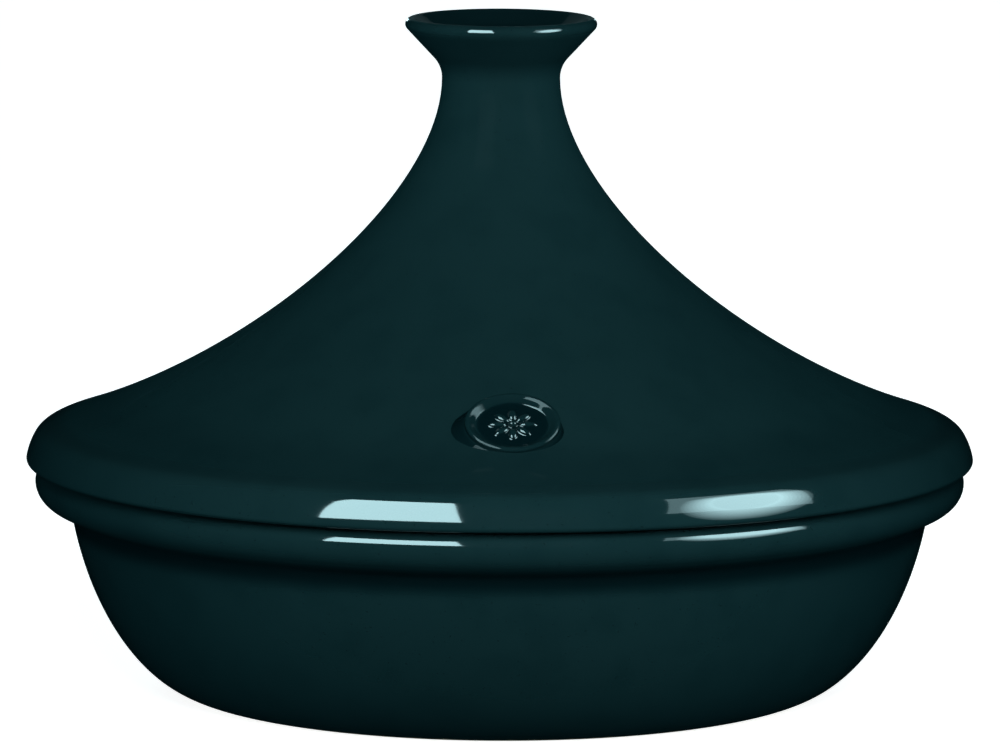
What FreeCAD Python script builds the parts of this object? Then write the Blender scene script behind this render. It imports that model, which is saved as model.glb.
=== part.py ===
"""Tagine pot: a glazed dish, a flared conical lid with a cup knob, and an oval medallion on the lid.

The foot stands on z = 0, the axis of the pot is Z, and the medallion faces -Y. Millimetres and degrees.
"""

import FreeCAD, Part
import math
import os

import Sketcher
from FreeCAD import Placement, Rotation, Vector

SIZES = {
    # Radii, from the lid's edge inwards
    "lid_radius": 160.0,
    "rim_overhang": 3.0,
    "rim_width": 11.0,
    "band_reach": 12.0,
    "dish_wall": 8.0,
    "wall_flare": 42.0,
    # Dish
    "dish_height": 77.0,
    "band_drop": 4.3,
    "band_roll": 9.0,
    "band_fall": 1.2,
    "wall_lean": 9.6,
    "wall_pull": 36.8,
    "foot_pull": 16.4,
    "foot_rise": 4.0,
    "foot_width": 12.0,
    "foot_recess": 2.0,
    "floor_thickness": 9.0,
    "floor_inset": 7.0,
    "floor_pull": 18.0,
    "inner_wall_pull": 45.0,
    "gallery_depth": 6.5,
    "throat_round": 1.2,
    "mouth_round": 2.0,
    "gallery_round": 1.0,
    # Lid
    "lid_height": 151.0,
    "rim_round": 1.5,
    "shoulder_inset": 6.9,
    "shoulder_rise": 12.9,
    "shoulder_slope": 17.3,
    "shoulder_round": 7.5,
    "shoulder_pull": 74.7,
    "neck_radius": 19.9,
    "neck_pull": 39.3,
    "knob_height": 20.3,
    "flare_round": 10.0,
    "lip_radius": 32.3,
    "lip_round": 2.2,
    "cup_depth": 15.0,
    "cup_round": 16.0,
    "lid_wall": 7.0,
    "neck_solid": 27.7,
    "dome_pull": 24.0,
    "inner_shoulder_pull": 80.0,
    "inner_shoulder_round": 6.0,
    "spigot_play": 1.2,
    "spigot_gap": 1.0,
    "spigot_wall": 6.5,
    "spigot_round": 1.5,
    # Medallion
    "medallion_width": 31.7,
    "medallion_height": 25.4,
    "medallion_inset": 35.6,
    "medallion_tilt": 16.0,
    "medallion_lip": 1.0,
    "medallion_flare": 4.0,
    "medallion_root": 2.5,
    "border_width": 3.2,
    "border_round": 0.9,
    "field_depth": 1.3,
}

# Places that more than one outline uses, as formulas on the sheet
BAND_RADIUS = "(Sizes.lid_radius - Sizes.rim_overhang)"
GALLERY_RADIUS = f"({BAND_RADIUS} - Sizes.rim_width)"
THROAT_RADIUS = f"({BAND_RADIUS} - Sizes.band_reach)"
MOUTH_RADIUS = f"({THROAT_RADIUS} - Sizes.dish_wall)"
FOOT_RADIUS = f"({THROAT_RADIUS} - Sizes.wall_flare)"
FLOOR_RADIUS = f"({FOOT_RADIUS} - Sizes.floor_inset)"
RECESS_RADIUS = f"({FOOT_RADIUS} - Sizes.foot_width)"
SEAT = "Sizes.dish_height"
LEDGE = f"({SEAT} - Sizes.gallery_depth)"
BAND_HEIGHT = f"({SEAT} - Sizes.band_drop)"
THROAT_HEIGHT = f"({BAND_HEIGHT} - Sizes.band_roll - Sizes.band_fall)"

SPIGOT_FOOT = f"({LEDGE} + Sizes.spigot_gap)"
SPIGOT_OUTER = f"({GALLERY_RADIUS} - Sizes.spigot_play)"
SPIGOT_INNER = f"({SPIGOT_OUTER} - Sizes.spigot_wall)"
LID_TOP = f"({SEAT} + Sizes.lid_height)"
NECK_HEIGHT = f"({LID_TOP} - Sizes.knob_height)"
CUP_FLOOR = f"({LID_TOP} - Sizes.cup_depth)"
DOME_HEIGHT = f"({NECK_HEIGHT} - Sizes.neck_solid)"
SHOULDER_RADIUS = "(Sizes.lid_radius - Sizes.shoulder_inset)"
SHOULDER_HEIGHT = f"({SEAT} + Sizes.shoulder_rise)"
SLOPE = "Sizes.shoulder_slope"
WALL_PLUMB = f"(Sizes.lid_wall / cos({SLOPE}))"
SLOPE_RISE = f"(({SHOULDER_RADIUS} - {SPIGOT_INNER}) * tan({SLOPE}))"
INNER_SHOULDER_HEIGHT = f"({SHOULDER_HEIGHT} + {SLOPE_RISE} - {WALL_PLUMB})"

# Control points of the lid's outer sweep, from the shoulder up to the neck
LID_SWEEP = (
    (SHOULDER_RADIUS, SHOULDER_HEIGHT),
    (
        f"{SHOULDER_RADIUS} - Sizes.shoulder_pull * cos({SLOPE})",
        f"{SHOULDER_HEIGHT} + Sizes.shoulder_pull * sin({SLOPE})",
    ),
    ("Sizes.neck_radius", f"{NECK_HEIGHT} - Sizes.neck_pull"),
    ("Sizes.neck_radius", NECK_HEIGHT),
)

CURVE_DEGREE = 3
# A sketch numbers a shape's own points from 1, and its two axes from -1 down
START, END, CENTRE = range(1, 4)
RADIUS_AXIS, POT_AXIS = -1, -2
ORIGIN = (RADIUS_AXIS, START)
PLACE_TOLERANCE = 1e-4
EDGE_SAMPLES = 9


def make_sheet(doc):
    sheet = doc.addObject("Spreadsheet::Sheet", "Sizes")
    for row, (name, size) in enumerate(SIZES.items(), start=1):
        sheet.set(f"A{row}", name)
        sheet.set(f"B{row}", str(size))
        sheet.setAlias(f"B{row}", name)
    doc.recompute()
    return sheet


def value(sheet, formula):
    return float(sheet.evalExpression(formula))


def origin_plane(body, role):
    return next(plane for plane in body.Origin.OriginFeatures if plane.Role == role)


def new_sketch(body, name, role):
    sketch = body.newObject("Sketcher::SketchObject", name)
    sketch.AttachmentSupport = [(origin_plane(body, role), "")]
    sketch.MapMode = "FlatFace"
    return sketch


def shared_normal(centre_a, radius_a, centre_b, radius_b, side):
    """Unit normal of the line that touches both circles; a hollow arc has a negative radius."""
    across = centre_b - centre_a
    turn = side * math.acos((radius_a - radius_b) / across.Length)
    heading = math.atan2(across.y, across.x) + turn
    return Vector(math.cos(heading), math.sin(heading), 0)


class Section:
    """A closed half section in a body's XZ plane: x is the radius, y the height, traced end to end."""

    def __init__(self, sheet, body, name):
        self.sheet = sheet
        self.sketch = new_sketch(body, name, "XZ_Plane")
        self.head = None
        self.tail = None

    def value(self, formula):
        return value(self.sheet, formula)

    def point(self, place):
        return Vector(self.value(place[0]), self.value(place[1]), 0)

    def bind(self, kind, *items, formula):
        index = self.sketch.addConstraint(Sketcher.Constraint(kind, *items, self.value(formula)))
        self.sketch.setExpression(f"Constraints[{index}]", formula)

    def pin(self, shape, end, place):
        """Hold a point at its radius and height; "0" puts it on the axis."""
        radius, height = place
        for kind, axis, formula in (("DistanceX", POT_AXIS, radius), ("DistanceY", RADIUS_AXIS, height)):
            if formula == "0":
                self.sketch.addConstraint(Sketcher.Constraint("PointOnObject", shape, end, axis))
            else:
                self.bind(kind, *ORIGIN, shape, end, formula=formula)

    def add(self, curve, smooth=False, backwards=False):
        """Add the next stretch of the outline, joined to the one before it."""
        shape = self.sketch.addGeometry(curve)
        first, last = (END, START) if backwards else (START, END)
        if self.tail is None:
            self.head = (shape, first)
        else:
            kind = "Tangent" if smooth else "Coincident"
            self.sketch.addConstraint(Sketcher.Constraint(kind, *self.tail, shape, first))
        self.tail = (shape, last)
        return shape

    def line(self, start, end, pinned=None, smooth=False):
        shape = self.add(Part.LineSegment(start, end), smooth=smooth)
        if pinned:
            self.pin(shape, END, pinned)
        return shape

    def run(self, start, *places):
        """Straight lines from a fixed start through fixed places."""
        here = self.point(start)
        for number, place in enumerate(places):
            shape = self.line(here, self.point(place), pinned=place)
            if number == 0 and self.head == (shape, START):
                self.pin(shape, START, start)
            here = self.point(place)

    def arc(self, centre, radius, start, end, backwards=False, smooth=False):
        """An arc about a fixed centre, from one angle to another (radians, anticlockwise)."""
        circle = Part.Circle(self.point(centre), Vector(0, 0, 1), radius)
        shape = self.add(Part.ArcOfCircle(circle, start, end), smooth=smooth, backwards=backwards)
        self.pin(shape, CENTRE, centre)
        return shape

    def curve(self, places):
        """A smooth sweep with its control points fixed; the first is held by the stretch before it."""
        poles = [self.point(place) for place in places]
        sweep = Part.BSplineCurve()
        ends = [len(poles), len(poles)]
        sweep.buildFromPolesMultsKnots(poles, ends, [0, 1], False, CURVE_DEGREE)
        shape = self.add(sweep)
        first_pole = self.sketch.GeometryCount
        self.sketch.exposeInternalGeometry(shape)
        for number, place in enumerate(places[1:], start=1):
            self.pin(first_pole + number, CENTRE, place)
        return shape

    def close(self):
        self.sketch.addConstraint(Sketcher.Constraint("Coincident", *self.tail, *self.head))
        return self.sketch


def heading_of(direction):
    return math.atan2(direction.y, direction.x)


def turned(body, name, kind, sketch):
    """Turn a section once round the pot's axis, as a solid or as a cut."""
    feature = body.newObject(kind, name)
    feature.Profile = sketch
    feature.ReferenceAxis = (sketch, ["V_Axis"])
    feature.Angle = 360
    return feature


def round_rings(sheet, body, name, radius_size, *places):
    """Round the ring-shaped edges that lie at the given radii and heights."""
    base = body.Tip
    rings = [(value(sheet, radius), value(sheet, height)) for radius, height in places]
    names = []
    for number, edge in enumerate(base.Shape.Edges, start=1):
        if edge.Degenerated or edge.Curve.TypeId != "Part::GeomCircle":
            continue
        circle = edge.Curve
        for radius, height in rings:
            miss = abs(circle.Radius - radius) + abs(circle.Center.z - height)
            if miss < PLACE_TOLERANCE:
                names.append(f"Edge{number}")
    if len(names) != len(rings):
        raise RuntimeError(f"{name}: found {len(names)} of {len(rings)} edges")
    fillet = body.newObject("PartDesign::Fillet", name)
    fillet.Base = (base, names)
    fillet.setExpression("Radius", f"Sizes.{radius_size}")
    body.Document.recompute()
    return fillet


def dish_outside(sheet, body):
    """Foot, wall sweep, underside of the band, band and rim, closed along the axis."""
    outline = Section(sheet, body, "dish_outside")
    foot = (FOOT_RADIUS, "0")
    throat = (THROAT_RADIUS, THROAT_HEIGHT)
    outline.run(("0", "0"), foot)
    outline.curve((
        foot,
        (
            f"{FOOT_RADIUS} + Sizes.foot_pull * cos(Sizes.foot_rise)",
            "Sizes.foot_pull * sin(Sizes.foot_rise)",
        ),
        (
            f"{THROAT_RADIUS} - Sizes.wall_pull * sin(Sizes.wall_lean)",
            f"{THROAT_HEIGHT} - Sizes.wall_pull * cos(Sizes.wall_lean)",
        ),
        throat,
    ))

    roll = outline.value("Sizes.band_roll")
    roll_centre = (f"{BAND_RADIUS} - Sizes.band_roll", BAND_HEIGHT)
    normal = shared_normal(outline.point(throat), 0, outline.point(roll_centre), roll, side=-1)
    outline.line(outline.point(throat), outline.point(roll_centre) + normal * roll)
    band = outline.arc(roll_centre, roll, heading_of(normal), 0, smooth=True)
    outline.pin(band, END, (BAND_RADIUS, BAND_HEIGHT))

    drop = outline.value("Sizes.band_drop")
    rim = (f"{BAND_RADIUS} - Sizes.band_drop", SEAT)
    top = outline.arc((rim[0], BAND_HEIGHT), drop, 0, math.pi / 2)
    outline.sketch.addConstraint(Sketcher.Constraint("Vertical", top, CENTRE, top, END))
    outline.run(rim, ("0", SEAT))
    outline.line(outline.point(("0", SEAT)), Vector())
    return outline.close()


def dish_inside(sheet, body):
    """Floor, inner wall and the gallery that takes the lid's spigot."""
    outline = Section(sheet, body, "dish_inside")
    floor = (FLOOR_RADIUS, "Sizes.floor_thickness")
    mouth = (MOUTH_RADIUS, LEDGE)
    outline.run(("0", "Sizes.floor_thickness"), floor)
    outline.curve((
        floor,
        (f"{FLOOR_RADIUS} + Sizes.floor_pull", "Sizes.floor_thickness"),
        (
            f"{MOUTH_RADIUS} - Sizes.inner_wall_pull * sin(Sizes.wall_lean)",
            f"{LEDGE} - Sizes.inner_wall_pull * cos(Sizes.wall_lean)",
        ),
        mouth,
    ))
    outline.run(mouth, (GALLERY_RADIUS, LEDGE), (GALLERY_RADIUS, SEAT), ("0", SEAT))
    outline.line(outline.point(("0", SEAT)), outline.point(("0", "Sizes.floor_thickness")))
    return outline.close()


def foot_hollow(sheet, body):
    """Shallow recess under the floor, which leaves a foot ring to stand on."""
    outline = Section(sheet, body, "foot_hollow")
    edge = f"{RECESS_RADIUS} - Sizes.foot_recess"
    outline.run(("0", "0"), (RECESS_RADIUS, "0"), (edge, "Sizes.foot_recess"), ("0", "Sizes.foot_recess"))
    outline.line(outline.point(("0", "Sizes.foot_recess")), Vector())
    return outline.close()


def make_dish(doc, sheet):
    dish = doc.addObject("PartDesign::Body", "base_dish")
    turned(dish, "dish_form", "PartDesign::Revolution", dish_outside(sheet, dish))
    turned(dish, "dish_hollow", "PartDesign::Groove", dish_inside(sheet, dish))
    turned(dish, "foot_cut", "PartDesign::Groove", foot_hollow(sheet, dish))
    doc.recompute()
    round_rings(sheet, dish, "throat_fillet", "throat_round", (THROAT_RADIUS, THROAT_HEIGHT))
    round_rings(sheet, dish, "mouth_fillet", "mouth_round", (MOUTH_RADIUS, LEDGE))
    round_rings(
        sheet, dish, "gallery_fillets", "gallery_round",
        (GALLERY_RADIUS, LEDGE), (GALLERY_RADIUS, SEAT), (RECESS_RADIUS, "0"),
    )
    return dish


def lid_outside(sheet, body):
    """Spigot, seat, rim, shoulder, sweep, neck, flare, lip and cup, closed along the axis."""
    outline = Section(sheet, body, "lid_outside")
    rim_edge = "Sizes.lid_radius - Sizes.rim_round"
    outline.run(
        ("0", SPIGOT_FOOT), (SPIGOT_OUTER, SPIGOT_FOOT), (SPIGOT_OUTER, SEAT), (rim_edge, SEAT),
    )

    rim_round = outline.value("Sizes.rim_round")
    rim_centre = (rim_edge, f"{SEAT} + Sizes.rim_round")
    shoulder_round = outline.value("Sizes.shoulder_round")
    shoulder_centre = (
        f"{SHOULDER_RADIUS} - Sizes.shoulder_round * sin({SLOPE})",
        f"{SHOULDER_HEIGHT} - Sizes.shoulder_round * cos({SLOPE})",
    )
    low, high = outline.point(rim_centre), outline.point(shoulder_centre)
    normal = shared_normal(low, rim_round, high, shoulder_round, side=-1)
    steep = math.radians(90 - outline.value(SLOPE))
    outline.arc(rim_centre, rim_round, -math.pi / 2, heading_of(normal))
    outline.line(low + normal * rim_round, high + normal * shoulder_round, smooth=True)
    shoulder = outline.arc(shoulder_centre, shoulder_round, heading_of(normal), steep, smooth=True)
    outline.pin(shoulder, END, LID_SWEEP[0])
    outline.curve(LID_SWEEP)

    flare_round = outline.value("Sizes.flare_round")
    flare_centre = ("Sizes.neck_radius + Sizes.flare_round", NECK_HEIGHT)
    lip_round = outline.value("Sizes.lip_round")
    lip_centre = ("Sizes.lip_radius - Sizes.lip_round", f"{LID_TOP} - Sizes.lip_round")
    low, high = outline.point(flare_centre), outline.point(lip_centre)
    normal = shared_normal(low, -flare_round, high, lip_round, side=-1)
    outline.arc(flare_centre, flare_round, heading_of(-normal), math.pi, backwards=True)
    outline.line(low - normal * flare_round, high + normal * lip_round, smooth=True)

    cup_round = outline.value("Sizes.cup_round")
    cup_centre = ("0", f"{CUP_FLOOR} + Sizes.cup_round")
    bowl = outline.point(cup_centre)
    inward = shared_normal(high, lip_round, bowl, -cup_round, side=-1)
    lip_end = heading_of(inward) % (2 * math.pi)
    lip = outline.arc(lip_centre, lip_round, heading_of(normal), lip_end, smooth=True)
    outline.bind("Radius", lip, formula="Sizes.lip_round")
    outline.line(high + inward * lip_round, bowl - inward * cup_round, smooth=True)
    cup = outline.arc(cup_centre, cup_round, -math.pi / 2, heading_of(-inward), backwards=True, smooth=True)
    outline.pin(cup, START, ("0", CUP_FLOOR))
    outline.line(outline.point(("0", CUP_FLOOR)), outline.point(("0", SPIGOT_FOOT)))
    return outline.close()


def lid_inside(sheet, body):
    """The hollow under the cone: spigot bore, inner sweep and a domed top below the neck."""
    outline = Section(sheet, body, "lid_inside")
    corner = (SPIGOT_INNER, INNER_SHOULDER_HEIGHT)
    outline.run(("0", SPIGOT_FOOT), (SPIGOT_INNER, SPIGOT_FOOT), corner)
    outline.curve((
        corner,
        (
            f"{SPIGOT_INNER} - Sizes.inner_shoulder_pull * cos({SLOPE})",
            f"{INNER_SHOULDER_HEIGHT} + Sizes.inner_shoulder_pull * sin({SLOPE})",
        ),
        ("Sizes.dome_pull", DOME_HEIGHT),
        ("0", DOME_HEIGHT),
    ))
    outline.line(outline.point(("0", DOME_HEIGHT)), outline.point(("0", SPIGOT_FOOT)))
    return outline.close()


def make_lid(doc, sheet):
    lid = doc.addObject("PartDesign::Body", "conical_lid")
    turned(lid, "lid_form", "PartDesign::Revolution", lid_outside(sheet, lid))
    turned(lid, "lid_hollow", "PartDesign::Groove", lid_inside(sheet, lid))
    doc.recompute()
    round_rings(
        sheet, lid, "inner_shoulder_fillet", "inner_shoulder_round",
        (SPIGOT_INNER, INNER_SHOULDER_HEIGHT),
    )
    round_rings(
        sheet, lid, "spigot_fillets", "spigot_round",
        (SPIGOT_INNER, SPIGOT_FOOT), (SPIGOT_OUTER, SPIGOT_FOOT),
    )
    return lid


def seat_on_lid(sheet):
    """Where the medallion sits: its Z is the lid's own normal there, and its Y runs up the slope."""
    sweep = Part.BezierCurve()
    sweep.setPoles([Vector(value(sheet, radius), value(sheet, height), 0) for radius, height in LID_SWEEP])
    reach = value(sheet, f"{SHOULDER_RADIUS} - Sizes.medallion_inset")
    plumb = Part.LineSegment(Vector(reach, 0, 0), Vector(reach, value(sheet, LID_TOP), 0))
    hit = sweep.intersectCC(plumb)[0]
    height = hit.Y
    along = sweep.tangent(sweep.parameter(Vector(reach, height, 0)))[0]
    slope = math.degrees(math.atan2(along.y, -along.x))
    return Placement(Vector(0, -reach, height), Rotation(Vector(1, 0, 0), slope))


def oval(sheet, body, name, width, height):
    """An upright oval about the sketch's origin."""
    sketch = new_sketch(body, name, "XY_Plane")
    half_width, half_height = value(sheet, width) / 2, value(sheet, height) / 2
    ellipse = sketch.addGeometry(Part.Ellipse(Vector(), half_width, half_height))
    long_axis = sketch.GeometryCount
    short_axis = long_axis + 1
    sketch.exposeInternalGeometry(ellipse)
    sketch.addConstraint(Sketcher.Constraint("Coincident", ellipse, CENTRE, *ORIGIN))
    sketch.addConstraint(Sketcher.Constraint("Horizontal", long_axis))
    for axis, formula in ((long_axis, width), (short_axis, height)):
        index = sketch.addConstraint(Sketcher.Constraint("Distance", axis, value(sheet, formula)))
        sketch.setExpression(f"Constraints[{index}]", formula)
    return sketch


def tilt_to_face(sheet, sketch):
    """Lift an oval off the lid and tilt it upright, with its lower edge a little proud of the lid."""
    rise = "Sizes.medallion_lip + Sizes.medallion_height / 2 * sin(Sizes.medallion_tilt)"
    tilt = value(sheet, "Sizes.medallion_tilt")
    lifted = Vector(0, 0, value(sheet, rise))
    sketch.AttachmentOffset = Placement(lifted, Rotation(Vector(1, 0, 0), tilt))
    sketch.setExpression("AttachmentOffset.Base.z", rise)
    sketch.setExpression("AttachmentOffset.Rotation.Angle", "Sizes.medallion_tilt")


def edges_on_plane(shape, plane):
    """Names of the edges that lie wholly in a placement's XY plane."""
    to_plane = plane.inverse()
    names = []
    for number, edge in enumerate(shape.Edges, start=1):
        heights = [abs(to_plane.multVec(point).z) for point in edge.discretize(Number=EDGE_SAMPLES)]
        if max(heights) < PLACE_TOLERANCE:
            names.append(f"Edge{number}")
    return names


def make_medallion(doc, sheet, lid):
    """An oval sprig: a flared root, an upright face and a raised border round a sunk field."""
    sprig = doc.addObject("PartDesign::Body", "medallion_sprig")
    face_width, face_height = "Sizes.medallion_width", "Sizes.medallion_height"
    root = oval(
        sheet, sprig, "root_oval",
        f"{face_width} + 2 * Sizes.medallion_flare", f"{face_height} + 2 * Sizes.medallion_flare",
    )
    root.setExpression("AttachmentOffset.Base.z", "-Sizes.medallion_root")
    face = oval(sheet, sprig, "face_oval", face_width, face_height)
    tilt_to_face(sheet, face)
    loft = sprig.newObject("PartDesign::AdditiveLoft", "sprig_form")
    loft.Profile = root
    loft.Sections = [face]

    field = oval(
        sheet, sprig, "field_oval",
        f"{face_width} - 2 * Sizes.border_width", f"{face_height} - 2 * Sizes.border_width",
    )
    tilt_to_face(sheet, field)
    sunk = sprig.newObject("PartDesign::Pocket", "sunk_field")
    sunk.Profile = field
    sunk.setExpression("Length", "Sizes.field_depth")
    doc.recompute()

    border = sprig.newObject("PartDesign::Fillet", "border_rounds")
    border.Base = (sunk, edges_on_plane(sunk.Shape, face.Placement))
    border.setExpression("Radius", "Sizes.border_round")
    sprig.Placement = seat_on_lid(sheet)

    medallion = doc.addObject("Part::Cut", "oval_medallion")
    medallion.Base = sprig
    medallion.Tool = lid
    return medallion


def check(doc, pieces):
    """Stop before anything is written if an object failed, a cut missed or a piece isn't one solid."""
    for item in doc.Objects:
        if "Invalid" in item.State or "Error" in item.State:
            raise RuntimeError(f"{item.Name} failed: {item.State}")
        if item.TypeId == "Sketcher::SketchObject" and not item.FullyConstrained:
            raise RuntimeError(f"{item.Name} is not fully constrained")
        if item.TypeId in ("PartDesign::Groove", "PartDesign::Pocket"):
            if item.Shape.Volume >= item.BaseFeature.Shape.Volume:
                raise RuntimeError(f"{item.Name} cuts nothing")
    for piece in pieces:
        if piece.Shape.isNull() or not piece.Shape.isValid() or len(piece.Shape.Solids) != 1:
            raise RuntimeError(f"{piece.Label} is not one valid solid")


def main():
    doc = FreeCAD.newDocument("tagine_pot")
    sheet = make_sheet(doc)
    dish = make_dish(doc, sheet)
    lid = make_lid(doc, sheet)
    medallion = make_medallion(doc, sheet, lid)
    doc.recompute()
    pieces = (dish, lid, medallion)
    check(doc, pieces)
    os.makedirs("parts", exist_ok=True)
    for piece in pieces:
        piece.Shape.exportStep(f"parts/{piece.Label}.step")
        print(f"{piece.Label}: {piece.Shape.Volume / 1000:.1f} cm3, {piece.Shape.optimalBoundingBox()}")


main()
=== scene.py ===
"""Looks of the tagine pot: its glazed dish, lid and medallion, the studio round it and the camera.

Metres and degrees. The pot's axis is Z, it stands on z = 0, and the medallion faces -Y.
"""

import math

import bpy
from mathutils import Euler, Matrix, Vector
from mathutils.geometry import interpolate_bezier


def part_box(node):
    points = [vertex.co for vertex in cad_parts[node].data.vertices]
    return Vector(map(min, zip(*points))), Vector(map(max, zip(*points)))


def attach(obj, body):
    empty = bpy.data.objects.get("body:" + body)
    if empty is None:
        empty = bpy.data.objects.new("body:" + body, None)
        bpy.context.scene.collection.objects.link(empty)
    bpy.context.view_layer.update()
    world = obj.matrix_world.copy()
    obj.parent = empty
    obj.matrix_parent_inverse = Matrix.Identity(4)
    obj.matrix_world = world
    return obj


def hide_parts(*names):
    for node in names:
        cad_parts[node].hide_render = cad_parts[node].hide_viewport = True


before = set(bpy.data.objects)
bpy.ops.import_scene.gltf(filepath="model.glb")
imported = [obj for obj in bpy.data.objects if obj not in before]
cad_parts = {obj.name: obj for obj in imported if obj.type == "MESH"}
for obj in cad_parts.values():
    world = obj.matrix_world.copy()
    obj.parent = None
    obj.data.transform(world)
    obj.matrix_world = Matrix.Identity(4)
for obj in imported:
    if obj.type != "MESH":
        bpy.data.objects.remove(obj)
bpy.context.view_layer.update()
_, DISH_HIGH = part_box("base_dish")
LID_LOW, LID_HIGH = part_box("conical_lid")

# Heights and radii that the dish and the lid share
LID_RADIUS = LID_HIGH.x
LID_TOP = LID_HIGH.z
SPIGOT_FOOT = LID_LOW.z
BAND_RADIUS = DISH_HIGH.x
SEAM_LIFT = 0.0008
SEAT = DISH_HIGH.z + SEAM_LIFT
RIM_WIDTH = 0.011
GALLERY_RADIUS = BAND_RADIUS - RIM_WIDTH
GALLERY_DEPTH = 0.0065
LEDGE = SEAT - GALLERY_DEPTH

# Dish
BAND_DROP = 0.0064
BAND_ROLL = 0.0078
BAND_HEIGHT = SEAT - BAND_DROP
THROAT_INSET = 0.012
THROAT_RADIUS = BAND_RADIUS - THROAT_INSET
THROAT_DROP = 0.0020
THROAT_HEIGHT = BAND_HEIGHT - BAND_ROLL - THROAT_DROP
THROAT_ROUND = 0.0014
WALL_LEAN = 9.6
WALL_PULL = 0.0368
FOOT_INSET = 0.042
FOOT_RADIUS = THROAT_RADIUS - FOOT_INSET
FOOT_PULL = 0.0164
FOOT_RISE = 4.0
FOOT_WIDTH = 0.012
RECESS_RADIUS = FOOT_RADIUS - FOOT_WIDTH
FOOT_RECESS = 0.002
FLOOR = 0.009
FLOOR_INSET = 0.007
FLOOR_RADIUS = FOOT_RADIUS - FLOOR_INSET
FLOOR_PULL = 0.018
DISH_WALL = 0.008
MOUTH_RADIUS = THROAT_RADIUS - DISH_WALL
MOUTH_ROUND = 0.002
INNER_WALL_PULL = 0.045
GALLERY_ROUND = 0.001

# Lid
RIM_ROUND = 0.0014
RIM_LEAN = 10.0
SHOULDER_LEAN = 30.0
SHOULDER_INSET = 0.0069
SHOULDER_RADIUS = LID_RADIUS - SHOULDER_INSET
SHOULDER_RISE = 0.0121
SHOULDER_HEIGHT = SEAT + SHOULDER_RISE
SHOULDER_SLOPE = 17.3
SHOULDER_ROUND = 0.0075
SHOULDER_PULL = 0.0747
NECK_RADIUS = 0.0199
NECK_DROP = 0.0203
NECK_HEIGHT = LID_TOP - NECK_DROP
NECK_PULL = 0.0393
FLARE_ROUND = 0.010
LIP_RADIUS = 0.0323
LIP_ROUND = 0.0022
CUP_DEPTH = 0.015
CUP_FLOOR = LID_TOP - CUP_DEPTH
CUP_ROUND = 0.016
LID_WALL = 0.007
DOME_DROP = 0.0277
DOME_HEIGHT = NECK_HEIGHT - DOME_DROP
DOME_PULL = 0.024
INNER_SHOULDER_PULL = 0.080
INNER_SHOULDER_ROUND = 0.006
SPIGOT_GAP = 0.0012
SPIGOT_OUTER = GALLERY_RADIUS - SPIGOT_GAP
SPIGOT_WIDTH = 0.0065
SPIGOT_INNER = SPIGOT_OUTER - SPIGOT_WIDTH
SPIGOT_ROUND = 0.0015

# Medallion: its oval face, its foot on the lid and its rosette
MEDALLION_WIDTH = 0.0312
MEDALLION_HEIGHT = 0.0245
MEDALLION_INSET = 0.0356
MEDALLION_RADIUS = SHOULDER_RADIUS - MEDALLION_INSET
MEDALLION_TILT = 16.0
MEDALLION_LIP = 0.001
MEDALLION_EDGE = 0.0012
MEDALLION_FLARE = 0.004
MEDALLION_ROOT = 0.0025
ROOT_LEFT = 0.0022
ROOT_UP = 0.0026
BORDER_WIDTH = 0.0019
BORDER_CROWN = 0.0006
BORDER_SLOPE = 0.0016
FIELD_DEPTH = 0.0014
PETALS = 8
PETAL_REACH = 0.0050
PETAL_LENGTH = 0.0030
PETAL_WIDTH = 0.0015
PETAL_RISE = 0.0010
BEAD_RADIUS = 0.0016
ROSETTE_SQUEEZE = 0.78
RELIEF_GRAIN = 0.0002
RELIEF_SOFTNESS = 0.5
RELIEF_SMOOTHINGS = 10

# How finely the pieces are made, and how far the handles of a round bend reach towards its corner
TURN_STEPS = 240
SWEEP_STEPS = 40
ARC_STEPS = 12
SLOPE_STEPS = 2000
OVAL_STEPS = 96
PETAL_SEGMENTS = 24
PETAL_RINGS = 12
MERGE_GAP = 1e-6
SMOOTH_ANGLE = 40.0
ROUND_HANDLE = 0.55
EVEN_HANDLE = 1 / 3

# Glaze: its colours, then the scale, detail and limits of its patterns, how strong they are, and its shine
GLAZE_BODY = (0.0052, 0.0222, 0.0252, 1)
GLAZE_THIN = (0.0066, 0.0256, 0.0288, 1)
GLAZE_DEEP = (0.0034, 0.0172, 0.0200, 1)
# The dark colour that painted shade blends towards
GLAZE_SHADE = (0.0006, 0.0062, 0.0080, 1)
GLAZE_SPECK = (0.0016, 0.0075, 0.0085, 1)
CLAY = (0.40, 0.27, 0.18, 1)
CLAY_DARK = (0.28, 0.18, 0.12, 1)
DRIFT = (11.0, 2.0, (0.35, 0.65))
DRIFT_SHARE = 0.45
MOTTLE = (70.0, 5.0, (0.42, 0.72))
MOTTLE_SHARE = 0.40
SPECKS = (900.0, 1.0, (0.70, 0.76))
SPECK_SHARE = 0.35
NOISE_MIDDLE = 0.5
CLAY_SCALE, CLAY_DETAIL = 900.0, 3.0
RAGGED_SCALE, RAGGED_DETAIL, RAGGED_DEPTH = 260.0, 3.0, 0.0014
RIPPLE_SCALE, RIPPLE_DETAIL, RIPPLE_DEPTH = 30.0, 2.0, 0.00006
PEEL_SCALE, PEEL_DETAIL, PEEL_DEPTH = 900.0, 1.0, 0.000009
GLOSS = 0.055
GLOSS_LOSS = 0.03
CLAY_DULLNESS = 0.7
COAT_ROUGHNESS = 0.05
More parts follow.
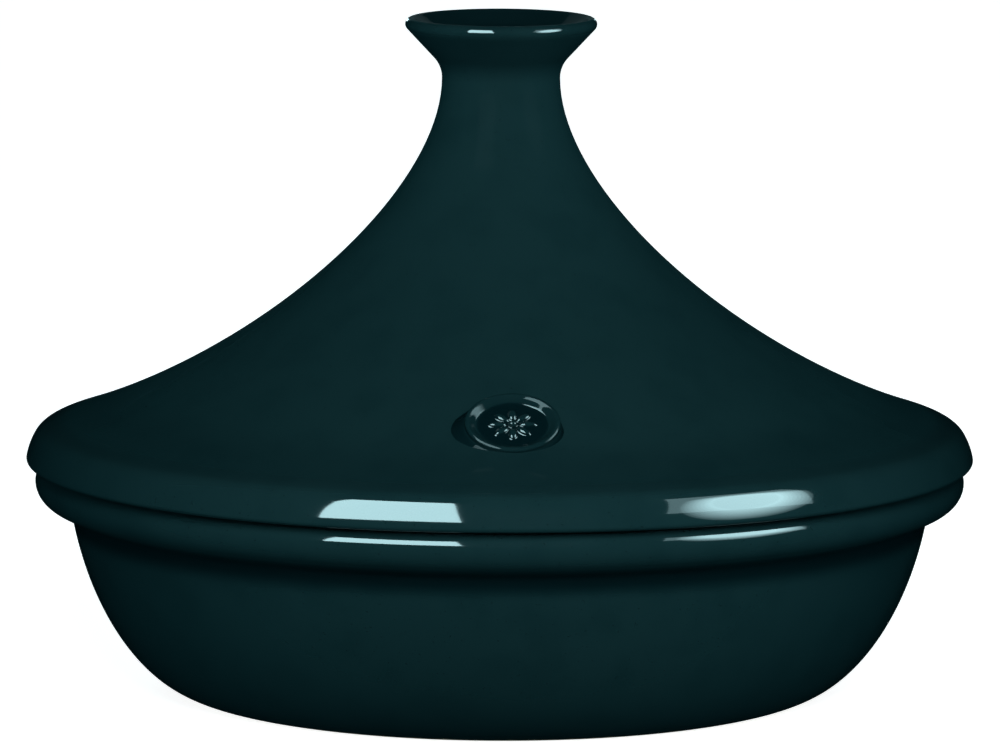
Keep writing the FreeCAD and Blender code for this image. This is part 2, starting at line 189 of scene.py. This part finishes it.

# Where shade is painted into the glaze: pairs of heights or radii between which it fades in or out, and its
# strength
# Painted shade inside the knob's cup
CUP_WALL_FOOT = 0.012
CUP_WALL_SPREAD = 1.22
CUP_EDGE = (-0.0006, 0.0012)
CUP_START = (CUP_FLOOR - 0.001, CUP_FLOOR)
CUP_SHADE = 0.6
# Painted shade on the underside of the knob's flare
FLARE_START = (NECK_HEIGHT - 0.001, NECK_HEIGHT + 0.006)
FLARE_END = (LID_TOP - 0.0052, LID_TOP - 0.0036)
FLARE_SHADE = 0.35
# Painted shade on a band of the lid just above the shoulder
SHOULDER_START = (SHOULDER_HEIGHT - 0.0006, SHOULDER_HEIGHT + 0.0016)
SHOULDER_END = (SHOULDER_HEIGHT + 0.005, SHOULDER_HEIGHT + 0.014)
SHOULDER_SHADE = 0.25
# Painted shade in the crease under the dish's band
CREASE_START = (THROAT_HEIGHT - 0.0095, THROAT_HEIGHT - 0.003)
CREASE_END = (THROAT_HEIGHT - 0.0008, THROAT_HEIGHT + 0.0020)
CREASE_OUTSIDE = (THROAT_RADIUS - 0.0065, THROAT_RADIUS - 0.0055)
CREASE_SHADE = 0.85

# Where the clay is bare, and where the glaze's coat turns satin
FOOT_END = (0.0007, 0.0013)
LEDGE_START = (LEDGE - 0.001, LEDGE - 0.0005)
LEDGE_END = (LEDGE + 0.0020, LEDGE + 0.0024)
LEDGE_INSIDE = (MOUTH_RADIUS + 0.0004, MOUTH_RADIUS + 0.0012)
LEDGE_OUTSIDE = (GALLERY_RADIUS + 0.0002, GALLERY_RADIUS + 0.001)
CONE_START = (SHOULDER_HEIGHT - 0.0002, SHOULDER_HEIGHT + 0.0028)
CONE_SATIN = 0.86
NECK_START = (NECK_HEIGHT - 0.0697, NECK_HEIGHT - 0.0517)
NECK_SATIN = 0.98
LIP_START = (LID_TOP - 0.0072, LID_TOP - 0.0048)
LIP_OUTSIDE = (LIP_RADIUS - 0.0012, LIP_RADIUS - 0.0005)

# Glaze on the medallion: edges as shares of the oval, heights over its face, darkening, painted shade and
# coat
FIELD_EDGE = (0.70, 0.80)
FLANK_EDGE = (0.98, 1.06)
PETAL_START = (PETAL_RISE * 0.2 - FIELD_DEPTH, PETAL_RISE * 0.9 - FIELD_DEPTH)
# The whole medallion a little darker, then painted shade in the sunk field and on the foot's flank
RELIEF_DARKENING = 0.35
FIELD_SHADE = 0.6
FLANK_SHADE = 0.45
RELIEF_COAT = 0.22
FIELD_COAT = 0.6
FLANK_COAT_LOSS = 0.14

# Camera: where it stands round the pot, what it looks at, and its lens
CAMERA_AZIMUTH = -2.0
CAMERA_ELEVATION = 8.05
CAMERA_DISTANCE = 3.0
CAMERA_AIM = Vector((0, 0, 0.1066))
CAMERA_ROLL = 0.2
CAMERA_LENS = 319.5
SENSOR_WIDTH = 36.0

# Studio
COVE_RADIUS = 12.0
COVE_BEND = 4.0
COVE_HANDLE = 0.7
COVE_WHITE = (0.8, 0.8, 0.8, 1)
COVE_GLOW = 0.92
AIR_COLOUR = (0.04, 0.105, 0.115, 1)
COOL_WHITE = (0.60, 0.94, 1.0)
SOFTBOX_DISTANCE = 0.55
SOFTBOX_GLOW = 18.0
RIGHT_AZIMUTH = 62.0
RIGHT_GLOW = 3.0
CORE_STEPS = 9
CORE_SHRINK = 0.065
CORE_MIDDLE = (-0.045, 0.368)
CORE_WIDTH = 0.336
CORE_HEIGHT = 0.480
CORE_LEAN = -28.0
CORE_GLOW = 13.0
CORE_DISTANCE = 0.54
CORE_GAP = 0.002
FILL_AZIMUTH = 3.0
FILL_ELEVATION = 23.0
FILL_HEIGHT = 0.10
FILL_DISTANCE = 0.90
FILL_SIZE = 0.50
FILL_POWER = 7.9
SUN_SOFTNESS = 40.0


def place(radius, height):
    """A point of a half section: its distance from the pot's axis and its height."""
    return Vector((radius, 0, height))


def heading(degrees):
    """Unit vector in the half section; 0 points outwards and 90 up."""
    angle = math.radians(degrees)
    return place(math.cos(angle), math.sin(angle))


def angle_of(direction):
    return math.degrees(math.atan2(direction.z, direction.x))


def sweep(start, handle, other, end):
    """Points of a smooth curve, after its start."""
    return interpolate_bezier(start, handle, other, end, SWEEP_STEPS + 1)[1:]


def arc(centre, radius, first, last):
    """Points of a round stretch from one heading to another."""
    step = (last - first) / ARC_STEPS
    return [centre + radius * heading(first + step * number) for number in range(ARC_STEPS + 1)]


def shared_normal(centre, radius, other, other_radius):
    """Normal of the line that touches two circles on their outer side; a hollow's radius is negative."""
    across = other - centre
    swing = math.degrees(math.acos((radius - other_radius) / across.length))
    return heading(angle_of(across) - swing)


def soften(outline, corner, reach):
    """Round the outline's corner: drop the points within reach of it and bridge the gap smoothly."""
    near = [number for number, point in enumerate(outline) if (point - corner).length < reach]
    before, after = outline[near[0] - 1], outline[near[-1] + 1]
    start = corner + (before - corner).normalized() * reach
    end = corner + (after - corner).normalized() * reach
    handle, other = start.lerp(corner, ROUND_HANDLE), end.lerp(corner, ROUND_HANDLE)
    bend = interpolate_bezier(start, handle, other, end, ARC_STEPS)
    return outline[:near[0]] + bend + outline[near[-1] + 1:]


def select_none():
    if bpy.context.object and bpy.context.object.mode != "OBJECT":
        bpy.ops.object.mode_set(mode="OBJECT")
    bpy.ops.object.select_all(action="DESELECT")


def turn(name, outline, hollow=False):
    """Draw an outline point by point and spin it round the pot's axis; a hollow form is seen from within."""
    select_none()
    bpy.ops.mesh.primitive_plane_add(size=LID_RADIUS)
    piece = bpy.context.object
    piece.name = name
    bpy.ops.object.mode_set(mode="EDIT")
    bpy.ops.mesh.select_all(action="SELECT")
    bpy.ops.mesh.merge(type="CENTER")
    bpy.ops.transform.translate(value=outline[0])
    for here, there in zip(outline, outline[1:]):
        bpy.ops.mesh.extrude_region_move(TRANSFORM_OT_translate={"value": there - here})
    bpy.ops.mesh.select_all(action="SELECT")
    bpy.ops.mesh.spin(steps=TURN_STEPS, angle=math.tau, center=(0, 0, 0), axis=(0, 0, 1))
    bpy.ops.mesh.select_all(action="SELECT")
    bpy.ops.mesh.remove_doubles(threshold=MERGE_GAP)
    bpy.ops.mesh.normals_make_consistent(inside=hollow)
    bpy.ops.object.mode_set(mode="OBJECT")
    bpy.ops.object.shade_smooth_by_angle(angle=math.radians(SMOOTH_ANGLE))
    return piece


def dish_outline():
    """From the middle of the recess under the foot, up the outside and down the inside to the floor."""
    foot = place(FOOT_RADIUS, 0)
    recess = place(RECESS_RADIUS, 0)
    throat = place(THROAT_RADIUS, THROAT_HEIGHT)
    outline = [place(0, FOOT_RECESS), place(RECESS_RADIUS - FOOT_RECESS, FOOT_RECESS), recess, foot]
    outline += sweep(
        foot,
        foot + FOOT_PULL * heading(FOOT_RISE),
        throat - WALL_PULL * heading(90 - WALL_LEAN),
        throat,
    )

    roll = place(BAND_RADIUS - BAND_ROLL, BAND_HEIGHT)
    under = shared_normal(throat, 0, roll, BAND_ROLL)
    outline += arc(roll, BAND_ROLL, angle_of(under), 0)
    outline += arc(place(BAND_RADIUS - BAND_DROP, BAND_HEIGHT), BAND_DROP, 0, 90)[1:]

    rim, ledge = place(GALLERY_RADIUS, SEAT), place(GALLERY_RADIUS, LEDGE)
    mouth, floor = place(MOUTH_RADIUS, LEDGE), place(FLOOR_RADIUS, FLOOR)
    outline += [rim, ledge, mouth]
    outline += sweep(
        mouth,
        mouth - INNER_WALL_PULL * heading(90 - WALL_LEAN),
        floor + place(FLOOR_PULL, 0),
        floor,
    )
    outline.append(place(0, FLOOR))
    for corner, reach in (
        (recess, GALLERY_ROUND),
        (throat, THROAT_ROUND),
        (rim, GALLERY_ROUND),
        (ledge, GALLERY_ROUND),
        (mouth, MOUTH_ROUND),
    ):
        outline = soften(outline, corner, reach)
    return outline


def lid_sweep():
    """Start, two handles and end of the lid's outer curve, from the shoulder up to the neck."""
    shoulder = place(SHOULDER_RADIUS, SHOULDER_HEIGHT)
    neck = place(NECK_RADIUS, NECK_HEIGHT)
    return (
        shoulder,
        shoulder + SHOULDER_PULL * heading(180 - SHOULDER_SLOPE),
        neck - place(0, NECK_PULL),
        neck,
    )


def lid_inside():
    """From the dome below the neck down the inside of the cone, round the spigot and up to the seat."""
    slope = math.radians(SHOULDER_SLOPE)
    drop = LID_WALL / math.cos(slope)
    rise = (SHOULDER_RADIUS - SPIGOT_INNER) * math.tan(slope)
    corner = place(SPIGOT_INNER, SHOULDER_HEIGHT + rise - drop)
    dome = place(0, DOME_HEIGHT)
    outline = [dome] + sweep(
        dome,
        dome + place(DOME_PULL, 0),
        corner + INNER_SHOULDER_PULL * heading(180 - SHOULDER_SLOPE),
        corner,
    )
    inner_foot, outer_foot = place(SPIGOT_INNER, SPIGOT_FOOT), place(SPIGOT_OUTER, SPIGOT_FOOT)
    outline += [inner_foot, outer_foot, place(SPIGOT_OUTER, SEAT)]
    for spot, reach in (
        (corner, INNER_SHOULDER_ROUND),
        (inner_foot, SPIGOT_ROUND),
        (outer_foot, SPIGOT_ROUND),
    ):
        outline = soften(outline, spot, reach)
    return outline


def lid_outside():
    """From the seat round the rim, over the shoulder, up the cone and the flare, and down into the cup."""
    rim = place(LID_RADIUS - RIM_ROUND, SEAT + RIM_ROUND)
    shoulder_top = heading(90 - SHOULDER_SLOPE)
    shoulder = place(SHOULDER_RADIUS, SHOULDER_HEIGHT) - SHOULDER_ROUND * shoulder_top
    outline = arc(rim, RIM_ROUND, -90, RIM_LEAN)
    low, high = outline[-1], shoulder + SHOULDER_ROUND * heading(SHOULDER_LEAN)
    pull = (high - low).length * EVEN_HANDLE
    outline += sweep(
        low,
        low + pull * heading(90 + RIM_LEAN),
        high - pull * heading(90 + SHOULDER_LEAN),
        high,
    )
    outline += arc(shoulder, SHOULDER_ROUND, SHOULDER_LEAN, 90 - SHOULDER_SLOPE)[1:]
    outline += sweep(*lid_sweep())

    flare = place(NECK_RADIUS + FLARE_ROUND, NECK_HEIGHT)
    lip = place(LIP_RADIUS - LIP_ROUND, LID_TOP - LIP_ROUND)
    bowl = place(0, CUP_FLOOR + CUP_ROUND)
    under = shared_normal(flare, -FLARE_ROUND, lip, LIP_ROUND)
    inward = shared_normal(lip, LIP_ROUND, bowl, -CUP_ROUND)
    outline += arc(flare, FLARE_ROUND, 180, angle_of(-under) % 360)[1:]
    outline += arc(lip, LIP_ROUND, angle_of(under), angle_of(inward) % 360)
    outline += arc(bowl, CUP_ROUND, angle_of(-inward), -90)
    return outline


def make_dish():
    return turn("round_dish", dish_outline())


def make_lid():
    return turn("flared_lid", lid_inside() + lid_outside())


def lid_seat():
    """Where the medallion sits: its Z is the lid's own normal there, and its Y runs up the slope."""
    curve = interpolate_bezier(*lid_sweep(), SLOPE_STEPS)
    number = next(n for n, point in enumerate(curve) if point.x < MEDALLION_RADIUS)
    spot, along = curve[number], curve[number] - curve[number - 1]
    slope = math.atan2(along.z, -along.x)
    return Matrix.Translation((0, -spot.x, spot.z)) @ Matrix.Rotation(slope, 4, "X")


def face_rise():
    """How far the middle of the medallion's face stands off the lid, with its lower edge clear of it."""
    return MEDALLION_LIP + MEDALLION_HEIGHT / 2 * math.sin(math.radians(MEDALLION_TILT))


def face_seat():
    """Where the medallion's face sits: off the lid and turned up from its slope."""
    tilt = Matrix.Rotation(math.radians(MEDALLION_TILT), 4, "X")
    return lid_seat() @ Matrix.Translation((0, 0, face_rise())) @ tilt


def make_rosette():
    """Petals round a bead, copied one from another, on the sunk field."""
    select_none()
    bpy.ops.mesh.primitive_uv_sphere_add(segments=PETAL_SEGMENTS, ring_count=PETAL_RINGS, radius=1)
    rosette = bpy.context.object
    bpy.ops.object.mode_set(mode="EDIT")
    bpy.ops.mesh.select_all(action="SELECT")
    bpy.ops.transform.resize(value=(PETAL_LENGTH, PETAL_WIDTH, PETAL_RISE))
    bpy.ops.transform.translate(value=(PETAL_REACH, 0, 0))
    for _ in range(PETALS - 1):
        bpy.ops.mesh.duplicate()
        bpy.ops.transform.rotate(value=math.tau / PETALS, orient_axis="Z", center_override=(0, 0, 0))
    bpy.ops.mesh.select_all(action="DESELECT")
    bpy.ops.mesh.primitive_uv_sphere_add(segments=PETAL_SEGMENTS, ring_count=PETAL_RINGS, radius=BEAD_RADIUS)
    bpy.ops.mesh.select_all(action="SELECT")
    bpy.ops.transform.resize(value=(1, ROSETTE_SQUEEZE, 1), center_override=(0, 0, 0))
    bpy.ops.transform.translate(value=(0, 0, -FIELD_DEPTH))
    bpy.ops.object.mode_set(mode="OBJECT")
    return rosette


def make_oval():
    """The medallion's face, with its raised border and sunk field, on a foot that spreads over the lid."""
    select_none()
    bpy.ops.mesh.primitive_circle_add(vertices=OVAL_STEPS, radius=0.5)
    oval = bpy.context.object
    oval.name = "medallion"
    bpy.ops.object.mode_set(mode="EDIT")
    bpy.ops.mesh.select_all(action="SELECT")
    bpy.ops.transform.resize(value=(MEDALLION_WIDTH, MEDALLION_HEIGHT, 1))
    bpy.ops.mesh.edge_face_add()
    bpy.ops.mesh.inset(thickness=BORDER_WIDTH / 2, depth=BORDER_CROWN)
    bpy.ops.mesh.inset(thickness=BORDER_WIDTH / 2, depth=-BORDER_CROWN)
    bpy.ops.mesh.inset(thickness=BORDER_SLOPE, depth=-FIELD_DEPTH)

    bpy.ops.mesh.select_mode(type="EDGE")
    bpy.ops.mesh.select_all(action="DESELECT")
    bpy.ops.mesh.select_non_manifold()
    bpy.ops.mesh.extrude_region_move(TRANSFORM_OT_translate={"value": (0, 0, -MEDALLION_EDGE)})
    bpy.ops.mesh.extrude_region_move()
    spread = (1 + 2 * MEDALLION_FLARE / MEDALLION_WIDTH, 1 + 2 * MEDALLION_FLARE / MEDALLION_HEIGHT, 1)
    bpy.ops.transform.resize(value=spread, center_override=(0, 0, 0))
    drop = MEDALLION_ROOT + face_rise() - MEDALLION_EDGE
    bpy.ops.transform.translate(value=(-ROOT_LEFT, ROOT_UP, -drop))
    tilt = math.radians(MEDALLION_TILT)
    bpy.ops.transform.rotate(value=tilt, orient_axis="X", center_override=(0, 0, 0))
    bpy.ops.mesh.edge_face_add()
    bpy.ops.mesh.select_mode(type="VERT")
    bpy.ops.mesh.select_all(action="SELECT")
    bpy.ops.mesh.normals_make_consistent(inside=False)
    bpy.ops.object.mode_set(mode="OBJECT")
    return oval


def make_medallion():
    """A hand-set oval sprig: face, foot and rosette fused into one soft-edged piece and set on the lid."""
    rosette = make_rosette()
    piece = make_oval()
    rosette.select_set(True)
    bpy.ops.object.join()
    fuse = piece.modifiers.new("fuse", "REMESH")
    fuse.mode = "VOXEL"
    fuse.voxel_size = RELIEF_GRAIN
    bpy.ops.object.modifier_apply(modifier=fuse.name)
    smooth = piece.modifiers.new("soften", "SMOOTH")
    smooth.factor = RELIEF_SOFTNESS
    smooth.iterations = RELIEF_SMOOTHINGS
    bpy.ops.object.modifier_apply(modifier=smooth.name)
    piece.matrix_world = face_seat()
    bpy.ops.object.transform_apply(location=True, rotation=True, scale=True)
    bpy.ops.object.shade_smooth()
    return piece


class Value:
    """A shader value; an expression on it adds Math nodes to its material."""

    def __init__(self, finish, socket):
        self.finish = finish
        self.socket = socket

    def maths(self, operation, first, second=0.0):
        return self.finish.node("ShaderNodeMath", {"operation": operation}, {0: first, 1: second})

    def __add__(self, other):
        return self.maths("ADD", self, other)

    def __sub__(self, other):
        return self.maths("SUBTRACT", self, other)

    def __rsub__(self, other):
        return self.maths("SUBTRACT", other, self)

    def __mul__(self, other):
        return self.maths("MULTIPLY", self, other)

    def root(self):
        return self.maths("SQRT", self)

    __radd__ = __add__
    __rmul__ = __mul__


class Finish:
    """A material's nodes."""

    def __init__(self, name):
        self.material = bpy.data.materials.new(name)
        self.material.use_nodes = True
        self.tree = self.material.node_tree
        self.shader = self.tree.nodes["Principled BSDF"]

    def node(self, kind, settings, sockets, output=0):
        """Add a node: its settings first, then the values or links of its sockets."""
        node = self.tree.nodes.new(kind)
        for name, setting in settings.items():
            setattr(node, name, setting)
        for name, value in sockets.items():
            self.feed(node.inputs[name], value)
        return Value(self, node.outputs[output])

    def feed(self, socket, value):
        if isinstance(value, Value):
            self.tree.links.new(value.socket, socket)
        else:
            socket.default_value = value

    def surface(self, **sockets):
        """Set the shader's own sockets, named with _ for a space."""
        for name, value in sockets.items():
            self.feed(self.shader.inputs[name.replace("_", " ")], value)

    def position(self):
        return self.node("ShaderNodeTexCoord", {}, {}, "Object")

    def axes(self, vector):
        return [self.node("ShaderNodeSeparateXYZ", {}, {0: vector}, axis) for axis in range(3)]

    def noise(self, vector, scale, detail):
        return self.node("ShaderNodeTexNoise", {}, {"Vector": vector, "Scale": scale, "Detail": detail})

    def fade(self, value, limits):
        """0 below the first limit and 1 above the second."""
        sockets = {"Value": value, "From Min": limits[0], "From Max": limits[1]}
        return self.node("ShaderNodeMapRange", {"interpolation_type": "SMOOTHSTEP"}, sockets)

    def between(self, value, start, end):
        """Fades in over one pair of limits and out again over another."""
        return self.fade(value, start) * (1 - self.fade(value, end))

    def pattern(self, vector, scale, detail, limits):
        return self.fade(self.noise(vector, scale, detail), limits)

    def blend(self, mask, colour, other):
        return self.node("ShaderNodeMix", {"data_type": "RGBA"}, {0: mask, 6: colour, 7: other}, 2)

    def bump(self, height):
        return self.node("ShaderNodeBump", {}, {"Strength": 1.0, "Distance": 1.0, "Height": height})


def make_glaze(name):
    """Dark blue-green glaze: mottled, with painted shade in the cup, under the flare and the band and above
    the shoulder, satin on the cone, none on foot and ledge.
    """
    glaze = Finish(name)
    here = glaze.position()
    across, along, height = glaze.axes(here)
    radius = (across * across + along * along).root()

    mottle = glaze.pattern(here, *MOTTLE)
    colour = glaze.blend(glaze.pattern(here, *DRIFT) * DRIFT_SHARE, GLAZE_BODY, GLAZE_THIN)
    colour = glaze.blend(mottle * MOTTLE_SHARE, colour, GLAZE_DEEP)
    colour = glaze.blend(glaze.pattern(here, *SPECKS) * SPECK_SHARE, colour, GLAZE_SPECK)

    cup_wall = CUP_WALL_FOOT + (height - CUP_FLOOR) * CUP_WALL_SPREAD
    cup = glaze.fade(cup_wall - radius, CUP_EDGE) * glaze.fade(height, CUP_START)
    flare = glaze.between(height, FLARE_START, FLARE_END)
    shoulder = glaze.between(height, SHOULDER_START, SHOULDER_END)
    crease = glaze.between(height, CREASE_START, CREASE_END) * glaze.fade(radius, CREASE_OUTSIDE)
    # Painted shade: the cup's hollow, the flare's underside, a band above the shoulder and the crease under
    # the band are blended towards the shade colour
    for darkening in (cup * CUP_SHADE, flare * FLARE_SHADE, shoulder * SHOULDER_SHADE, crease * CREASE_SHADE):
        colour = glaze.blend(darkening, colour, GLAZE_SHADE)

    edge = height + (glaze.noise(here, RAGGED_SCALE, RAGGED_DETAIL) - NOISE_MIDDLE) * RAGGED_DEPTH
    foot = 1 - glaze.fade(edge, FOOT_END)
    ledge = glaze.fade(height, LEDGE_START) * (1 - glaze.fade(edge, LEDGE_END))
    bare = foot + ledge * glaze.between(radius, LEDGE_INSIDE, LEDGE_OUTSIDE)
    clay = glaze.blend(glaze.noise(here, CLAY_SCALE, CLAY_DETAIL), CLAY, CLAY_DARK)

    not_lip = 1 - glaze.fade(height, LIP_START) * glaze.fade(radius, LIP_OUTSIDE)
    cone = glaze.fade(height, CONE_START) * not_lip
    neck = glaze.fade(height, NECK_START) * not_lip
    ripple = glaze.noise(here, RIPPLE_SCALE, RIPPLE_DETAIL) * RIPPLE_DEPTH
    peel = glaze.noise(here, PEEL_SCALE, PEEL_DETAIL) * PEEL_DEPTH
    glaze.surface(
        Base_Color=glaze.blend(bare, colour, clay),
        Roughness=GLOSS + mottle * GLOSS_LOSS + bare * CLAY_DULLNESS,
        Specular_IOR_Level=0.0,
        Coat_Weight=(1 - cone * CONE_SATIN) * (1 - neck * NECK_SATIN) * (1 - bare),
        Coat_Roughness=COAT_ROUGHNESS,
        Normal=glaze.bump(ripple + peel),
    )
    return glaze.material


def make_relief_glaze():
    """The same glaze on the medallion, a little darker all over, with painted shade in the sunk field and
    round the foot.
    """
    glaze = Finish("relief_glaze")
    here = glaze.position()
    face = face_seat().inverted()
    placing = {"Vector": here, "Location": face.to_translation(), "Rotation": face.to_euler()}
    across, along, rise = glaze.axes(glaze.node("ShaderNodeMapping", {"vector_type": "POINT"}, placing))
    across = across * (2 / MEDALLION_WIDTH)
    along = along * (2 / MEDALLION_HEIGHT)
    reach = (across * across + along * along).root()

    mottle = glaze.pattern(here, *MOTTLE)
    field = 1 - glaze.fade(reach, FIELD_EDGE)
    low = 1 - glaze.fade(rise, PETAL_START)
    flank = glaze.fade(reach, FLANK_EDGE)
    colour = glaze.blend(mottle * MOTTLE_SHARE, GLAZE_BODY, GLAZE_DEEP)
    # Painted shade in the sunk field and on the flank, on top of a slight darkening of the whole medallion
    darkening = RELIEF_DARKENING + field * low * FIELD_SHADE + flank * FLANK_SHADE
    glaze.surface(
        Base_Color=glaze.blend(darkening, colour, GLAZE_SHADE),
        Roughness=GLOSS + mottle * GLOSS_LOSS,
        Specular_IOR_Level=0.0,
        Coat_Weight=RELIEF_COAT + field * FIELD_COAT - flank * FLANK_COAT_LOSS,
        Coat_Roughness=COAT_ROUGHNESS,
        Normal=glaze.bump(glaze.noise(here, PEEL_SCALE, PEEL_DETAIL) * PEEL_DEPTH),
    )
    return glaze.material


def cove_outline():
    """A flat floor that bends up into a dome, wide enough for a camera on any side."""
    bend = place(COVE_RADIUS, 0)
    floor = place(COVE_RADIUS - COVE_BEND, 0)
    wall = place(COVE_RADIUS, COVE_BEND)
    upper_wall = place(COVE_RADIUS, COVE_RADIUS * COVE_HANDLE)
    ceiling = place(COVE_RADIUS * ROUND_HANDLE, COVE_RADIUS)
    return (
        [place(0, 0), floor]
        + sweep(floor, floor.lerp(bend, ROUND_HANDLE), wall.lerp(bend, ROUND_HANDLE), wall)
        + sweep(wall, upper_wall, ceiling, place(0, COVE_RADIUS))
    )


def make_cove():
    """Pale floor and backdrop in one; only the camera sees it, and the glaze mirrors a dark studio."""
    cove = turn("studio_cove", cove_outline(), hollow=True)
    white = Finish("cove_white")
    white.surface(
        Base_Color=COVE_WHITE,
        Roughness=1.0,
        Specular_IOR_Level=0.0,
        Emission_Color=(1, 1, 1, 1),
        Emission_Strength=COVE_GLOW,
    )
    cove.data.materials.append(white.material)
    cove.visible_diffuse = False
    cove.visible_glossy = False
    cove.visible_shadow = False


def add_light(kind, name):
    select_none()
    bpy.ops.object.light_add(type=kind)
    light = bpy.context.object
    light.name = name
    return light


def add_softbox(name, azimuth, distance, middle, size, lean, glow, shape="RECTANGLE"):
    """An upright softbox that only the gloss mirrors; its middle is a shift to the side and a height."""
    box = add_light("AREA", name)
    box.data.shape = shape
    box.data.size, box.data.size_y = size
    box.data.energy = glow * math.pi * box.data.size * box.data.size_y
    box.data.color = COOL_WHITE
    turned = Matrix.Rotation(math.radians(azimuth), 4, "Z")
    moved = Matrix.Translation((middle[0], -distance, middle[1]))
    upright = Matrix.Rotation(math.radians(90), 4, "X")
    leaning = Matrix.Rotation(math.radians(lean), 4, "Z")
    box.matrix_world = turned @ moved @ upright @ leaning
    box.visible_diffuse = False
    box.visible_camera = False


def add_softboxes():
    """One on each side and one behind; ellipses, each inside the last, make the right one's bright core."""
    add_softbox(
        "left_softbox", azimuth=-30.0, distance=SOFTBOX_DISTANCE,
        middle=(0.0205, 0.5165), size=(0.303, 0.567), lean=6.0, glow=SOFTBOX_GLOW,
    )
    add_softbox(
        "right_softbox", azimuth=RIGHT_AZIMUTH, distance=SOFTBOX_DISTANCE,
        middle=(-0.035, 0.486), size=(0.370, 0.442), lean=-17.0, glow=RIGHT_GLOW,
    )
    for step in range(CORE_STEPS):
        share = 1 - CORE_SHRINK * step
        add_softbox(
            f"right_core_{step}", azimuth=RIGHT_AZIMUTH, distance=CORE_DISTANCE - CORE_GAP * step,
            middle=CORE_MIDDLE, size=(CORE_WIDTH * share, CORE_HEIGHT * share), lean=CORE_LEAN,
            glow=CORE_GLOW / CORE_STEPS, shape="ELLIPSE",
        )
    add_softbox(
        "rear_softbox", azimuth=180.0, distance=SOFTBOX_DISTANCE,
        middle=(0.0, 0.41), size=(0.26, 0.34), lean=0.0, glow=SOFTBOX_GLOW,
    )


def add_front_fill():
    """A broad soft light close in front of the pot, which leaves no mirror image in the glaze."""
    fill = add_light("AREA", "front_fill")
    fill.data.shape = "DISK"
    fill.data.size = FILL_SIZE
    fill.data.energy = FILL_POWER
    towards = Euler((math.radians(90 - FILL_ELEVATION), 0, math.radians(FILL_AZIMUTH))).to_matrix()
    spot = Vector((0, 0, FILL_HEIGHT)) + FILL_DISTANCE * towards.col[2]
    fill.matrix_world = Matrix.Translation(spot) @ towards.to_4x4()
    fill.visible_glossy = False
    fill.visible_camera = False


def add_sun(name, azimuth, elevation, strength):
    """A soft fill that leaves no mirror image in the glaze; below level it is light off the pale floor."""
    sun = add_light("SUN", name)
    sun.data.energy = strength
    sun.data.color = COOL_WHITE
    sun.data.angle = math.radians(SUN_SOFTNESS)
    sun.rotation_euler = Euler((math.radians(90 - elevation), 0, math.radians(azimuth)))
    sun.visible_glossy = False


def make_air():
    """Even light from all round, which the gloss doesn't mirror."""
    air = bpy.data.worlds.new("studio_air")
    air.use_nodes = True
    background = air.node_tree.nodes["Background"]
    background.inputs["Color"].default_value = AIR_COLOUR
    bpy.context.scene.world = air
    air.cycles_visibility.glossy = False


def add_camera():
    select_none()
    azimuth, elevation = math.radians(CAMERA_AZIMUTH), math.radians(CAMERA_ELEVATION)
    back = Vector((
        math.sin(azimuth) * math.cos(elevation),
        -math.cos(azimuth) * math.cos(elevation),
        math.sin(elevation),
    ))
    bpy.ops.object.camera_add()
    camera = bpy.context.object
    camera.name = "photo_camera"
    camera.data.lens = CAMERA_LENS
    camera.data.sensor_width = SENSOR_WIDTH
    camera.data.clip_end = 4 * COVE_RADIUS
    aim = back.to_track_quat("Z", "Y").to_matrix().to_4x4()
    roll = Matrix.Rotation(math.radians(CAMERA_ROLL), 4, "Z")
    camera.matrix_world = Matrix.Translation(CAMERA_AIM + CAMERA_DISTANCE * back) @ aim @ roll
    bpy.context.scene.camera = camera


def dress(piece, body, node, material):
    piece.data.materials.append(material)
    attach(piece, body)
    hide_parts(node)


glaze = make_glaze("glaze")
dress(make_dish(), "dish", "base_dish", glaze)
dress(make_lid(), "lid", "conical_lid", glaze)
dress(make_medallion(), "lid", "oval_medallion", make_relief_glaze())

make_cove()
add_softboxes()
add_front_fill()
add_sun("rear_fill", azimuth=180.0, elevation=10.0, strength=1.6)
add_sun("left_bounce", azimuth=-95.0, elevation=-10.0, strength=1.1)
add_sun("right_bounce", azimuth=95.0, elevation=-10.0, strength=1.2)
make_air()
add_camera()

bpy.context.scene.view_settings.view_transform = "Standard"
